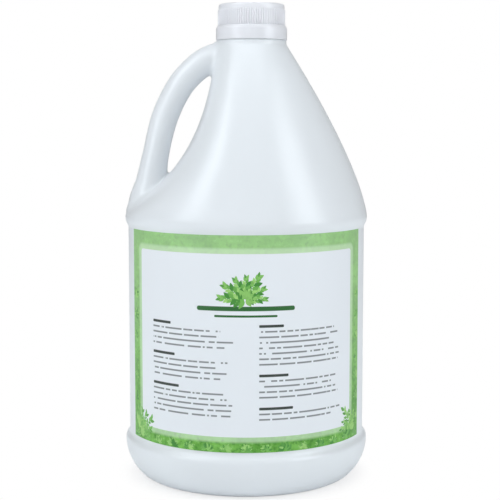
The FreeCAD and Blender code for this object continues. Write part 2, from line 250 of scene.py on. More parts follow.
def build_mesh(name, points, faces, material):
    """Object from points in millimetres, welded and with its faces turned outwards."""
    mesh = bpy.data.meshes.new(name)
    mesh.from_pydata([tuple(float(c) * MM for c in point) for point in points], [], faces)
    tidy = bmesh.new()
    tidy.from_mesh(mesh)
    bmesh.ops.remove_doubles(tidy, verts=tidy.verts, dist=1e-6)
    bmesh.ops.recalc_face_normals(tidy, faces=tidy.faces)
    tidy.to_mesh(mesh)
    tidy.free()
    mesh.materials.append(material)
    return put(name, mesh)


def smooth_shading(piece, angle):
    """Smooth shading that keeps edges sharper than the angle."""
    mesh = piece.data
    mesh.polygons.foreach_set("use_smooth", [True] * len(mesh.polygons))
    mesh.set_sharp_from_angle(angle=math.radians(angle))


def turn(outline, centre_x, steps, closed=False):
    """Points and faces of an outline of radius and height turned round an upright axis."""
    points = []
    rows = []
    for radius, height in outline:
        if radius < 1e-6:
            rows.append([len(points)] * steps)
            points.append((centre_x, 0.0, height))
            continue
        rows.append([len(points) + step for step in range(steps)])
        for step in range(steps):
            angle = 2 * math.pi * step / steps
            points.append((centre_x + radius * math.cos(angle), radius * math.sin(angle), height))
    pairs = list(zip(rows, rows[1:]))
    if closed:
        pairs.append((rows[-1], rows[0]))
    faces = []
    for lower, upper in pairs:
        for step in range(steps):
            ahead = (step + 1) % steps
            corners = [lower[step], lower[ahead], upper[ahead], upper[step]]
            face = list(dict.fromkeys(corners))
            if len(face) > 2:
                faces.append(face)
    return points, faces


def bow(centre, radius, start, end, count):
    """Points along an arc, from one angle to another in degrees."""
    turns = [math.radians(start + (end - start) * index / count) for index in range(count + 1)]
    return [(centre[0] + radius * math.cos(a), centre[1] + radius * math.sin(a)) for a in turns]


def rounded(corner, before, after, reach, count=4):
    """Points of a small curve that takes the place of a corner."""
    corner = np.array(corner, float)
    start = np.array(before, float) - corner
    end = np.array(after, float) - corner
    start = corner + start / np.linalg.norm(start) * reach
    end = corner + end / np.linalg.norm(end) * reach
    shares = np.linspace(0, 1, count + 1)
    return [tuple((1 - s) ** 2 * start + 2 * s * (1 - s) * corner + s * s * end) for s in shares]


print("helpers ready")

# %% [markdown]
# The lower jug is one turned outline: a domed base for stiffness, a flat foot ring to stand on, a
# rolled base that ends in a bumper, and a straight panel that keeps the label from scuffing,
# because the bumper and the shoulder stand proud of it. The outline below is made of arcs that meet
# smoothly, as a mould maker would draw them.

# %% Outline of the lower jug
PANEL, SHOULDER, BUMPER = 76.0, 77.9, 78.6
FOOT_IN, FOOT_OUT, PUSH_UP, ROLL = 58.6, 62.6, 6.0, 10.0
BUMPER_Z, PANEL_LOW, PANEL_TOP, SHOULDER_Z = 24.0, 29.8, 162.0, 168.0
HOLLOW, STRAIGHT_END, CROWN_SKIP = 4.0, 3.0, (0.8, 0.4)
dome = (FOOT_IN ** 2 + PUSH_UP ** 2) / (2 * PUSH_UP)
dome_turn = math.degrees(math.asin(FOOT_IN / dome))
reach, climb = BUMPER - FOOT_OUT, BUMPER_Z - ROLL
side = (reach ** 2 + climb ** 2 - ROLL ** 2) / (2 * (reach - ROLL))
side_turn = math.degrees(math.asin(climb / (side - ROLL)))
step_in, step_up = BUMPER - PANEL, PANEL_LOW - BUMPER_Z
swing = (step_in ** 2 + step_up ** 2) / (2 * step_in)
swing_turn = math.degrees(math.asin(step_up / swing))
bulge, drop = SHOULDER - PANEL, SHOULDER_Z - PANEL_TOP
crown = (bulge ** 2 + drop ** 2) / (2 * bulge)
crown_turn = math.degrees(math.asin(drop / crown))
crown_arc = bow((SHOULDER - crown, SHOULDER_Z), crown, -crown_turn, 0, 10)
lower_outline = bow((0, PUSH_UP - dome), dome, 90, 90 - dome_turn, 16)[:-1]
lower_outline += rounded((FOOT_IN, 0), lower_outline[-1], (FOOT_OUT, 0), 1.0)
lower_outline += bow((FOOT_OUT, ROLL), ROLL, -90, -side_turn, 10)
lower_outline += bow((BUMPER - side, BUMPER_Z), side, -side_turn, 0, 12)[1:]
lower_outline += bow((BUMPER - swing + HOLLOW, BUMPER_Z), swing - HOLLOW, 0, swing_turn, 8)[1:]
lower_outline += bow((PANEL + HOLLOW, PANEL_LOW), HOLLOW, 180 + swing_turn, 180, 8)[1:]
straight = PANEL_TOP - STRAIGHT_END - PANEL_LOW
lower_outline += [(PANEL, PANEL_LOW + share * straight) for share in (0.25, 0.5, 0.75, 1.0)]
lower_outline += rounded((PANEL, PANEL_TOP), (PANEL, PANEL_LOW), crown_arc[1], 1.0)
crown_low, crown_high = PANEL_TOP + CROWN_SKIP[0], SHOULDER_Z - CROWN_SKIP[1]
lower_outline += [point for point in crown_arc if crown_low < point[1] < crown_high]
print("lower outline:", len(lower_outline), "points, from", lower_outline[0], "to", lower_outline[-1])

# %% [markdown]
# Above the shoulder the jug leans over to its neck, and the side under the handle is pressed in to
# make room for fingers. A section at any height is therefore half a circle and half a squarer oval.
# The handle is an oval tube on an arch, with a flared root. The two are made as separate closed
# grids first.

# %% Shoulder and handle grids
COLLAR_R, LEDGE_Z, CONE_H, CONE_BEND = 22.3, 279.7, 109.0, 1.32
COLLAR_Z = SHOULDER_Z + CONE_H
POCKET_FALL, POCKET_START, POCKET_SQUARE = 3.05, 0.05, 0.8
NOSE_TOP = COLLAR_R - NECK_X


def cone_shape(height):
    """Centre, radius, reach towards the handle and squareness of the section at a height."""
    share = np.clip((np.asarray(height, float) - SHOULDER_Z) / CONE_H, 0, 1)
    centre = NECK_X * share
    radius = COLLAR_R + (SHOULDER - COLLAR_R) * (1 - share ** CONE_BEND)
    fall = np.exp(-POCKET_FALL * share ** 2 / (share + POCKET_START))
    fall = fall - share * math.exp(-POCKET_FALL / (1 + POCKET_START))
    pressed = NOSE_TOP + (SHOULDER - NOSE_TOP) * fall + centre
    power = 2 + POCKET_SQUARE * 4 * share * (1 - share)
    return centre, radius, pressed, power


def cone_ring(height, steps):
    """Points of one section."""
    centre, radius, pressed, power = (float(value) for value in cone_shape(height))
    ring = []
    for step in range(steps):
        angle = 2 * math.pi * step / steps
        cosine, sine = math.cos(angle), math.sin(angle)
        bend = 1.0 if cosine > 0 else 2 / power
        across = radius if cosine > 0 else pressed
        x = centre + math.copysign(abs(cosine) ** bend, cosine) * across
        ring.append((x, math.copysign(abs(sine) ** bend, sine) * radius, height))
    return ring


def stack(rings):
    """Closed grid through rings of equal length, capped at both ends."""
    steps = len(rings[0])
    points = [point for ring in rings for point in ring]
    faces = [list(range(steps))]
    for row in range(len(rings) - 1):
        for step in range(steps):
            ahead = (step + 1) % steps
            low, high = row * steps, (row + 1) * steps
            faces.append([low + step, low + ahead, high + ahead, high + step])
    faces.append(list(range(len(points) - steps, len(points))))
    return points, faces


CONE_STEPS, CONE_ROWS = 240, 90
cone_levels = [SHOULDER_Z - 12, SHOULDER_Z - 6]
cone_levels += list(np.linspace(SHOULDER_Z, COLLAR_Z, CONE_ROWS)) + [LEDGE_Z]
cone_grid = stack([cone_ring(level, CONE_STEPS) for level in cone_levels])
print("cone grid:", len(cone_grid[0]), "points")

# %% Handle stations
GRIP_W, GRIP_D, INSET, FOOT_RISE, CLEAR, BURY = 8.5, 9.75, 17.6, 14.0, 0.4, 5.0
ROOT_H, ROOT_FLARE, ROOT_SPREAD, ROOT_SINK, TOP_FLARE = 29.0, 11.0, 15.0, 3.0, 1.6
ROOT_FULL, ROOT_OUT, ROOT_BEND, FLARE_FROM = 1.9, 1.0, 2.2, 55
ROOT_SHARES, ARCH_ANGLES = (-0.12, 0.12, 0.4, 0.75), (16, 34, 52, 68, 80, 90)


def root_station(share):
    """Centre x, centre z, lean of the section, half width and half depth in the lower root."""
    height = SHOULDER_Z + share * ROOT_H
    centre, radius, _, _ = (float(value) for value in cone_shape(height))
    flare = (1 - max(0.0, share)) ** ROOT_BEND
    swell = math.sin(math.pi * max(0.0, share))
    half = GRIP_W + ROOT_FLARE * flare + ROOT_FULL * swell
    outside = radius - centre - (ROOT_SINK if share < 0 else 0.0) + ROOT_OUT * swell
    return (half - outside, height, 0.0, half, GRIP_D + ROOT_SPREAD * flare)


def arch_station(angle):
    """The same five numbers at an angle along the arch."""
    growth = max(0.0, (angle - FLARE_FROM) / (90 - FLARE_FROM)) ** 2 * TOP_FLARE
    top_x = NECK_X - COLLAR_R + BURY
    span = SHOULDER - INSET + top_x
    low = SHOULDER_Z + FOOT_RISE
    rise = LEDGE_Z - CLEAR - TOP_FLARE - GRIP_W - low
    cosine, sine = math.cos(math.radians(angle)), math.sin(math.radians(angle))
    lean = math.atan2(span * sine, rise * cosine)
    return (top_x - span * cosine, low + rise * sine, lean, GRIP_W + growth, GRIP_D + growth)


stations = [root_station(share) for share in ROOT_SHARES]
stations = np.array(stations + [arch_station(angle) for angle in ARCH_ANGLES])


def along(stations, count):
    """Smooth run through the stations, with a number of steps in each span."""
    padded = np.vstack([2 * stations[0] - stations[1], stations, 2 * stations[-1] - stations[-2]])
    run = []
    for span in range(len(stations) - 1):
        a, b, c, d = padded[span:span + 4]
        for t in np.arange(count) / count:
            run.append(0.5 * (2 * b + (c - a) * t + (2 * a - 5 * b + 4 * c - d) * t ** 2
                              + (3 * b - a - 3 * c + d) * t ** 3))
    return np.array(run + [stations[-1]])


SPAN_STEPS, TUBE_STEPS = 10, 48
handle_run = along(stations, SPAN_STEPS)
turns = 2 * np.pi * np.arange(TUBE_STEPS) / TUBE_STEPS
handle_rings = []
for x, z, lean, half_w, half_d in handle_run:
    wide = half_w * np.cos(turns)
    deep = half_d * np.sin(turns)
    ring = np.stack([x + wide * math.cos(lean), deep, z - wide * math.sin(lean)], axis=1)
    handle_rings.append([tuple(point) for point in ring])
handle_grid = stack(handle_rings)
handle_top = max(point[2] for point in handle_grid[0])
print("handle grid:", len(handle_grid[0]), "points, top at", round(handle_top, 1))

# %% [markdown]
# On the real jug the handle flows into the shoulder, because both are blown from one tube of
# plastic. A Boolean would leave a hard seam there. A voxel remesh joins the two grids into one skin
# instead, but only roughly on the true surface. So every point is afterwards slid onto it: the
# distance to the cone and the distance to the handle are known by rule, and their soft minimum is
# the distance to both with a hollow where they meet.

# %% Joined shoulder and handle
VOXEL = 1.15
joined = build_mesh("upper_skin", cone_grid[0], cone_grid[1], jug_plastic)
grip = build_mesh("grip_skin", handle_grid[0], handle_grid[1], jug_plastic)
both = bmesh.new()
both.from_mesh(joined.data)
both.from_mesh(grip.data)
both.to_mesh(joined.data)
both.free()
bpy.data.objects.remove(grip)
remesh = joined.modifiers.new("join", "REMESH")
remesh.mode = "VOXEL"
remesh.voxel_size = VOXEL * MM
graph = bpy.context.evaluated_depsgraph_get()
upper_mesh = bpy.data.meshes.new_from_object(joined.evaluated_get(graph))
bpy.data.objects.remove(joined)
skin = np.zeros(len(upper_mesh.vertices) * 3)
upper_mesh.vertices.foreach_get("co", skin)
skin = skin.reshape(-1, 3) / MM
links = np.zeros(len(upper_mesh.edges) * 2, int)
upper_mesh.edges.foreach_get("vertices", links)
links = links.reshape(-1, 2)
print("joined skin:", len(skin), "points")

# %% Distance to the cone and to the handle
HANDLE_SIDE, FAR, BLOCK, DENSE_STEPS = -8.0, 99.0, 4000, 40


def cone_size(points):
    """Size of each point's place in its section, 1 on the cone itself, and the section's centre."""
    centre, radius, pressed, power = cone_shape(points[:, 2])
    dx = points[:, 0] - centre
    handle_side = dx < 0
    across = np.where(handle_side, pressed, radius)
    bend = np.where(handle_side, power, 2.0)
    size = (np.abs(dx / across) ** bend + np.abs(points[:, 1] / radius) ** bend) ** (1 / bend)
    return np.maximum(size, 1e-6), centre


def on_cone(points):
    """Distance of each point to the cone, measured level."""
    size, centre = cone_size(points)
    return np.hypot(points[:, 0] - centre, points[:, 1]) * (1 - 1 / size)


dense = along(stations, DENSE_STEPS)


def on_handle(points):
    """Distance of each point to the handle's oval tube."""
    off = np.full(len(points), FAR)
    near = np.where(points[:, 0] < HANDLE_SIDE)[0]
    for block in np.array_split(near, max(1, len(near) // BLOCK)):
        dx = points[block, 0][:, None] - dense[:, 0]
        dz = points[block, 2][:, None] - dense[:, 1]
        x, z, lean, half_w, half_d = dense[(dx ** 2 + dz ** 2).argmin(1)].T
        wide = (points[block, 0] - x) * np.cos(lean) - (points[block, 2] - z) * np.sin(lean)
        size = np.hypot(wide / half_w, points[block, 1] / half_d)
        off[block] = (size - 1) * np.minimum(half_w, half_d)
    return off


print("points along the handle:", len(dense))

# %% Slide the skin onto both
EASE, ROUNDS, SLIDES = 0.6, 4, 4
BLEND, LOW_BLEND, LEAST_BLEND, PROBE, LEAST_SLOPE = 3.2, 2.8, 0.05, 0.05, 0.3
CUT_LOW, FOOT_FADE, LOW_FADE = 168.3, (0.0, 5.0), (6.0, 22.0)
SKIN_TOP, TOP_FADE = COLLAR_Z + 2.2, 0.6


def relax(points, rounds):
    """Move every point towards the middle of its neighbours, a number of times."""
    count = np.bincount(links.ravel(), minlength=len(points))[:, None]
    for _ in range(rounds):
        total = np.zeros_like(points)
        np.add.at(total, links[:, 0], points[links[:, 1]])
        np.add.at(total, links[:, 1], points[links[:, 0]])
        points = points + (total / np.maximum(count, 1) - points) * EASE
    return points


def soft_step(value, low, high):
    """0 up to low, 1 from high, and smooth between."""
    share = np.clip((value - low) / (high - low), 0, 1)
    return share * share * (3 - 2 * share)


def skin_off(points):
    """Distance to the joined surface, with a soft hollow where cone and handle meet."""
    cone_off = on_cone(points)
    handle_off = on_handle(points)
    height = points[:, 2] - CUT_LOW
    low = 1 - soft_step(height, *LOW_FADE)
    soft = LEAST_BLEND + (BLEND + LOW_BLEND * low) * soft_step(height, *FOOT_FADE)
    share = np.clip(0.5 + 0.5 * (handle_off - cone_off) / soft, 0, 1)
    return handle_off * (1 - share) + cone_off * share - soft * share * (1 - share)


skin = relax(skin, ROUNDS)
for _ in range(SLIDES):
    off = skin_off(skin)
    slope = np.stack([(skin_off(skin + PROBE * axis) - off) / PROBE for axis in np.eye(3)], axis=1)
    level = soft_step(SKIN_TOP - skin[:, 2], 0.0, TOP_FADE)
    skin = skin - (level * off / np.maximum((slope ** 2).sum(1), LEAST_SLOPE))[:, None] * slope
upper_mesh.vertices.foreach_set("co", (skin * MM).ravel())
print("largest distance left:", round(float(np.abs(skin_off(skin) * level).max()), 3), "mm")

# %% [markdown]
# The neck carries a collar, a bead that traps the tamper band, and a thread. The bottle's inside is
# turned too, so that a look down the open neck shows a hollow jug. Outside and inside meet at the
# rim and close the skin.

# %% Outline of the neck and the inside
RIM_Z, NECK_R, BORE_R, BEAD_R, BEAD_Z = 299.9, 17.6, 15.6, 20.3, 284.3
BEAD_FLAT, BEAD_END = BEAD_Z + 0.9, BEAD_Z + 1.8
CUT_HIGH, NECK_START = 279.35, 279.5
HOLLOW_CONE = [(BORE_R, 277.0), (17.5, 271.0), (20.0, 262.0), (23.0, 253.0), (28.0, 235.0)]
HOLLOW_BODY = [(36.0, 213.0), (54.0, 190.0), (70.0, 168.0), (71.0, 150.0), (71.0, 60.0), (71.0, 14.0)]
HOLLOW_FLOOR = [(64.0, 9.5), (0.0, 9.5)]
neck_outline = [(COLLAR_R, NECK_START)]
neck_outline += rounded((COLLAR_R, LEDGE_Z), (COLLAR_R, 270), (NECK_R, LEDGE_Z), 0.15, 2)
neck_outline += rounded((NECK_R, LEDGE_Z), (COLLAR_R, LEDGE_Z), (NECK_R, RIM_Z), 0.5)
neck_outline += rounded((NECK_R, BEAD_Z), (NECK_R, LEDGE_Z), (BEAD_R, BEAD_Z), 0.3)
neck_outline += rounded((BEAD_R, BEAD_Z), (NECK_R, BEAD_Z), (BEAD_R, BEAD_FLAT), 0.3)
neck_outline += rounded((BEAD_R, BEAD_FLAT), (BEAD_R, BEAD_Z), (NECK_R, BEAD_END), 0.3)
neck_outline += rounded((NECK_R, BEAD_END), (BEAD_R, BEAD_FLAT), (NECK_R, RIM_Z), 0.5)
neck_outline += rounded((NECK_R, RIM_Z), (NECK_R, BEAD_Z), (BORE_R, RIM_Z), 0.4)
neck_outline += rounded((BORE_R, RIM_Z), (NECK_R, RIM_Z), (BORE_R, BEAD_Z), 0.4)
neck_outline += HOLLOW_CONE + HOLLOW_BODY + HOLLOW_FLOOR
print("neck outline:", len(neck_outline), "points")

# %% Whole jug
LEAD, THREAD_FOOT, THREAD_TOP, THREAD_STEPS, FADE_STEPS, LEAST_FADE = 4.233, 1.0, 0.45, 72, 12, 0.02


def thread(crest, root, start, turns):
    """Points and faces of a ridge that climbs round the neck axis and fades out at both ends."""
    count = int(turns * THREAD_STEPS)
    points = []
    for index in range(count + 1):
        angle = 2 * math.pi * index / THREAD_STEPS
        fade = min(1.0, index / FADE_STEPS, (count - index) / FADE_STEPS)
        peak = root + (crest - root) * max(LEAST_FADE, fade)
        height = start + LEAD * index / THREAD_STEPS
        section = [(root, -THREAD_FOOT), (peak, -THREAD_TOP), (peak, THREAD_TOP), (root, THREAD_FOOT)]
        for radius, rise in section:
            points.append((NECK_X + radius * math.cos(angle), radius * math.sin(angle), height + rise))
    faces = [[0, 1, 2, 3], [4 * count + corner for corner in (3, 2, 1, 0)]]
    for index in range(count):
        for corner in range(4):
            ahead = (corner + 1) % 4
            low, high = 4 * index, 4 * index + 4
            faces.append([low + corner, low + ahead, high + ahead, high + corner])
    return points, faces


def add_grid(target, points, faces):
    """Add points in millimetres and their faces to a bmesh, and return the new points."""
    made = [target.verts.new([float(c) * MM for c in point]) for point in points]
    for face in faces:
        target.faces.new([made[index] for index in face])
    return made


def cut_away(target, spot, outwards):
    """Cut a bmesh along a plane and drop what lies beyond it."""
    everything = list(target.verts) + list(target.edges) + list(target.faces)
    bmesh.ops.bisect_plane(target, geom=everything, plane_co=spot, plane_no=outwards, clear_outer=True)


def rim_edges(target, height):
    """Open edges of a bmesh at about one height in millimetres."""
    edges = []
    for edge in target.edges:
        if edge.is_boundary and all(abs(v.co.z / MM - height) < 0.05 for v in edge.verts):
            edges.append(edge)
    return edges


LOWER_STEPS, NECK_STEPS, MERGE = 288, 144, 2e-5
jug = bmesh.new()
jug.from_mesh(upper_mesh)
for height, up in ((CUT_LOW, -1), (CUT_HIGH, 1)):
    cut_away(jug, (0, 0, height * MM), (0, 0, up))
bmesh.ops.remove_doubles(jug, verts=jug.verts, dist=MERGE)
for height in (CUT_LOW, CUT_HIGH):
    edge_points = {v for edge in rim_edges(jug, height) for v in edge.verts}
    spots = np.array([v.co for v in edge_points]) / MM
    sizes, centres = cone_size(spots)
    for point, spot, size, centre in zip(edge_points, spots, sizes, centres):
        point.co = ((centre + (spot[0] - centre) / size) * MM, spot[1] / size * MM, height * MM)
add_grid(jug, *turn(lower_outline, 0.0, LOWER_STEPS))
add_grid(jug, *turn(neck_outline, NECK_X, NECK_STEPS))
for first, second in ((lower_outline[-1][1], CUT_LOW), (CUT_HIGH, neck_outline[0][1])):
    bmesh.ops.bridge_loops(jug, edges=rim_edges(jug, first) + rim_edges(jug, second))
open_edges = sum(edge.is_boundary for edge in jug.edges)
bmesh.ops.recalc_face_normals(jug, faces=jug.faces)
neck_thread = thread(crest=18.9, root=17.4, start=289.6, turns=1.75)
ridge = add_grid(jug, *neck_thread)
ridge_faces = {face for point in ridge for face in point.link_faces}
bmesh.ops.recalc_face_normals(jug, faces=list(ridge_faces))
jug_mesh = bpy.data.meshes.new("jug_skin")
jug.to_mesh(jug_mesh)
jug.free()
jug_mesh.materials.append(jug_plastic)
jug_skin = put("jug_skin", jug_mesh)
smooth_shading(jug_skin, angle=50.0)
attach(jug_skin, "jug")
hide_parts("jug_body")
print("jug skin:", len(jug_mesh.polygons), "faces,", open_edges, "open edges")

# %% [markdown]
# The cap is a turned shell with a rounded crown. Its grip is ninety fine ribs round the skirt: a
# ring of identical shapes is work for Geometry Nodes, which put one rib on each of a row of points
# and turn it round the neck's axis. `Plan` holds one such tree. Its inputs have names, so a coarser
# grip is one number away, and `on` runs the tree on a piece and keeps the result as plain mesh.

# %% Geometry node trees


class Plan(Tree):
    """Geometry node tree with named inputs."""

    def __init__(self, name, inputs):
        self.group = bpy.data.node_groups.new(name, "GeometryNodeTree")
        super().__init__(self.group)
        face = self.group.interface
        for title, kind in inputs:
            face.new_socket(title, in_out="INPUT", socket_type=f"NodeSocket{kind}")
        face.new_socket("Geometry", in_out="OUTPUT", socket_type="NodeSocketGeometry")
        self.keys = {item.name: item.identifier for item in face.items_tree if item.in_out == "INPUT"}
        entry = self.nodes.new("NodeGroupInput")
        self.given = {title: Field(self, entry.outputs[title]) for title in self.keys}

    def spot(self, **axes):
        return self.add("ShaderNodeCombineXYZ", None, axes)

    def shape(self, name):
        return self.add("GeometryNodeObjectInfo", None, {"Object": self.given[name]}, "Geometry")

    def points(self, count, place):
        """As many points as counted, each at its place."""
        line = self.add("GeometryNodeMeshLine", None, {"Count": count, "Offset": (0, 0, 0)})
        return self.add("GeometryNodeSetPosition", None, {"Geometry": line, "Position": place})

    def copies(self, points, shape, **sockets):
        sockets = {"Points": points, "Instance": shape, **sockets}
        return self.add("GeometryNodeInstanceOnPoints", None, sockets)

    def end(self, geometry):
        """Make the copies real, give them the finish and close the tree."""
        real = self.add("GeometryNodeRealizeInstances", None, {"Geometry": geometry})
        sockets = {"Geometry": real, "Material": self.given["Finish"]}
        done = self.add("GeometryNodeSetMaterial", None, sockets)
        self.feed(self.nodes.new("NodeGroupOutput").inputs[0], done)

    def on(self, piece, **values):
        """Run the tree on a piece, with _ for a space in an input's name."""
        modifier = piece.modifiers.new(self.group.name, "NODES")
        modifier.node_group = self.group
        for name, value in values.items():
            modifier[self.keys[name.replace("_", " ")]] = value
        graph = bpy.context.evaluated_depsgraph_get()
        mesh = bpy.data.meshes.new_from_object(piece.evaluated_get(graph))
        piece.modifiers.clear()
        piece.data = mesh
        mesh.name = piece.name


RING_INPUTS = [("Geometry", "Geometry"), ("Copies", "Int"), ("Shape", "Object"), ("Axis X", "Float")]
ring = Plan("ring_of_copies", RING_INPUTS + [("Finish", "Material")])
share = ring.add("GeometryNodeInputIndex") / ring.given["Copies"]
angle = ring.spot(Z=share * (2 * math.pi))
on_axis = ring.points(ring.given["Copies"], ring.spot(X=ring.given["Axis X"]))
copies = ring.copies(on_axis, ring.shape("Shape"), Rotation=angle)
together = ring.add("GeometryNodeJoinGeometry", None, {0: copies})
ring.feed(together.socket.node.inputs[0], ring.given["Geometry"])
ring.end(together)


def ring_of(piece, shape, copies):
    """Add copies of a shape round the neck axis to a piece of the closure."""
    ring.on(piece, Copies=copies, Shape=shape, Axis_X=NECK_X * MM, Finish=cap_plastic)
    bpy.data.objects.remove(shape)


print("inputs of the ring:", sorted(ring.keys))

# %% Cap
SKIRT_Z, CEILING_Z, CROWN_Z, CAP_BORE, CAP_R = 288.45, 300.9, 302.5, 19.6, 21.0
CROWN_ROUND, CLOSURE_STEPS, RIBS = 1.4, 180, 90
RIB_TOP, RIB_ROOT, RIB_SIDE, RIB_BROW, RIB_CREST = CROWN_Z - 3.4, 20.8, 21.2, 21.46, 21.5
cap_outline = [(0, CROWN_Z), (10, CROWN_Z), (18, CROWN_Z)]
cap_outline += bow((CAP_R - CROWN_ROUND, CROWN_Z - CROWN_ROUND), CROWN_ROUND, 90, 0, 8)
cap_outline += [(CAP_R, RIB_TOP), (CAP_R, 294.0)]
cap_outline += rounded((CAP_R, SKIRT_Z), (CAP_R, CROWN_Z), (CAP_BORE, SKIRT_Z), 0.1, 2)
cap_outline += rounded((CAP_BORE, SKIRT_Z), (CAP_R, SKIRT_Z), (CAP_BORE, CEILING_Z), 0.25)
cap_outline += rounded((CAP_BORE, CEILING_Z), (CAP_BORE, SKIRT_Z), (0, CEILING_Z), 0.15, 2)
cap_outline += [(0, CEILING_Z)]
cap_points, cap_faces = turn(cap_outline, NECK_X, CLOSURE_STEPS)
screw_points, screw_faces = thread(crest=18.3, root=19.75, start=290.6, turns=1.6)
cap_faces += [[index + len(cap_points) for index in face] for face in screw_faces]
cap = build_mesh("ribbed_cap", cap_points + screw_points, cap_faces, cap_plastic)
half_rib = [(RIB_ROOT, 0.46), (RIB_SIDE, 0.36), (RIB_BROW, 0.2)]
rib_section = [(r, -y) for r, y in half_rib] + [(RIB_CREST, 0.0)] + half_rib[::-1]
rib_levels = [(SKIRT_Z + 0.05, RIB_CREST, 1.0), (RIB_TOP - 0.5, RIB_CREST, 1.0)]
rib_levels += [(RIB_TOP - 0.15, RIB_SIDE, 0.8), (RIB_TOP, RIB_ROOT, 0.5)]
rib_rings = [[(min(r, most), y * size, z) for r, y in rib_section] for z, most, size in rib_levels]
ring_of(cap, build_mesh("rib", *stack(rib_rings), cap_plastic), RIBS)
smooth_shading(cap, angle=45.0)
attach(cap, "cap")
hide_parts("screw_cap")
print("cap:", len(cap.data.polygons), "faces with", RIBS, "ribs")

# %% [markdown]
# The band is the lower part of the moulded cap, torn off along its slit when the jug was first
# opened. It keeps a lip inside that catches under the neck's bead, and the stubs of the little
# bridges that once held it to the cap. Its outline is a list of corners, each rounded a little, and
# the stubs are a second ring of copies.

# %% Tamper band
BAND_R, BAND_BORE, BAND_LOW, BAND_TOP, BEVEL = 22.7, 21.2, 279.85, 288.25, 1.2
SEAT_R, SEAT_OUT, SEAT_Z = 21.62, 21.78, BAND_TOP + 0.65
LIP_R, LIP_LOW, LIP_EDGE, LIP_TOP = 18.9, 281.2, 282.0, 282.8
STUB_R, STUBS, OUTER_CORNERS, SOFT_CORNER, CRISP_CORNER = 21.45, 14, (1, 2), 0.4, 0.06
band_corners = [(BAND_BORE, BAND_LOW), (BAND_R, BAND_LOW), (BAND_R, BAND_TOP - BEVEL)]
band_corners += [(SEAT_OUT, SEAT_Z), (SEAT_R, SEAT_Z), (SEAT_R, BAND_TOP), (BAND_BORE, BAND_TOP)]
band_corners += [(BAND_BORE, LIP_TOP), (LIP_R, LIP_TOP), (LIP_R, LIP_EDGE), (BAND_BORE, LIP_LOW)]
band_outline = []
for index, corner in enumerate(band_corners):
    before, after = band_corners[index - 1], band_corners[(index + 1) % len(band_corners)]
    reach = SOFT_CORNER if index in OUTER_CORNERS else CRISP_CORNER
    band_outline += rounded(corner, before, after, reach)
band = build_mesh("torn_band", *turn(band_outline, NECK_X, CLOSURE_STEPS, closed=True), cap_plastic)
stub_section = ((-0.2, -0.5), (0.2, -0.5), (0.2, 0.5), (-0.2, 0.5))
stub_levels = ((BAND_TOP - 0.3, 1.0), (BAND_TOP + 0.05, 0.8), (BAND_TOP + 0.1, 0.45))
stub_rings = [[(STUB_R + r * size, y * size, z) for r, y in stub_section] for z, size in stub_levels]
ring_of(band, build_mesh("bridge_stub", *stack(stub_rings), cap_plastic), STUBS)
smooth_shading(band, angle=45.0)
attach(band, "band")
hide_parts("tamper_band")
print("band:", len(band.data.polygons), "faces")

# %% [markdown]
# The label is a printed film. Its mesh is a bent sheet with a UV map that runs from 0 to 1 across
# and up, so the print can be drawn in millimetres of flat label. The print is a plain one: a leafy
# green border round a white field, with rows of grey bars where the small print would be.

# %% Label sheet
LABEL_IN, LABEL_OUT, LABEL_LOW, LABEL_TOP, LABEL_TURN = 76.1, 76.3, 30.6, 161.7, 136.5
LABEL_W = LABEL_OUT * math.radians(LABEL_TURN)
LABEL_H = LABEL_TOP - LABEL_LOW
COLUMNS, ROWS = 140, 8


def bent(x, y, radius):
    """Point on the panel from millimetres across and up on the flat label."""
    angle = x / LABEL_OUT
    return (radius * math.sin(angle), -radius * math.cos(angle), LABEL_LOW + y)


def sheet_face(*corners):
    """Face from corners given as side, row and column."""
    return [(side * (ROWS + 1) + row) * (COLUMNS + 1) + column for side, row, column in corners]


def rim_face(start, end):
    """Face on the film's cut edge, between two places of row and column."""
    return sheet_face((0, *start), (0, *end), (1, *end), (1, *start))


sheet_points = []
for radius in (LABEL_OUT, LABEL_IN):
    for row in range(ROWS + 1):
        for column in range(COLUMNS + 1):
            x, y = (column / COLUMNS - 0.5) * LABEL_W, row / ROWS * LABEL_H
            sheet_points.append(bent(x, y, radius))
sheet_faces = []
for row in range(ROWS):
    for column in range(COLUMNS):
        corners = [(row, column), (row, column + 1), (row + 1, column + 1), (row + 1, column)]
        sheet_faces.append(sheet_face(*[(0, *corner) for corner in corners]))
        sheet_faces.append(sheet_face(*[(1, *corner) for corner in reversed(corners)]))
    for column in (0, COLUMNS):
        sheet_faces.append(rim_face((row, column), (row + 1, column)))
for column in range(COLUMNS):
    for row in (0, ROWS):
        sheet_faces.append(rim_face((row, column), (row, column + 1)))
film = Finish("label_film")
label = build_mesh("printed_label", sheet_points, sheet_faces, film.owner)
print_map = label.data.uv_layers.new(name="flat_label")
for loop in label.data.loops:
    x, y, z = label.data.vertices[loop.vertex_index].co / MM
    across = math.atan2(x, -y) * LABEL_OUT / LABEL_W + 0.5
    print_map.data[loop.index].uv = (across, (z - LABEL_LOW) / LABEL_H)
smooth_shading(label, angle=40.0)
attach(label, "jug")
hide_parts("label")
print("label:", round(LABEL_W, 1), "by", round(LABEL_H, 1), "mm flat")

# %% Label print
flat = film.add("ShaderNodeUVMap", {"uv_map": "flat_label"})
across = (film.add("ShaderNodeSeparateXYZ", None, {0: flat}, "X") - 0.5) * LABEL_W
up = film.add("ShaderNodeSeparateXYZ", None, {0: flat}, "Y") * LABEL_H
spot = film.add("ShaderNodeCombineXYZ", None, {0: across, 1: up})


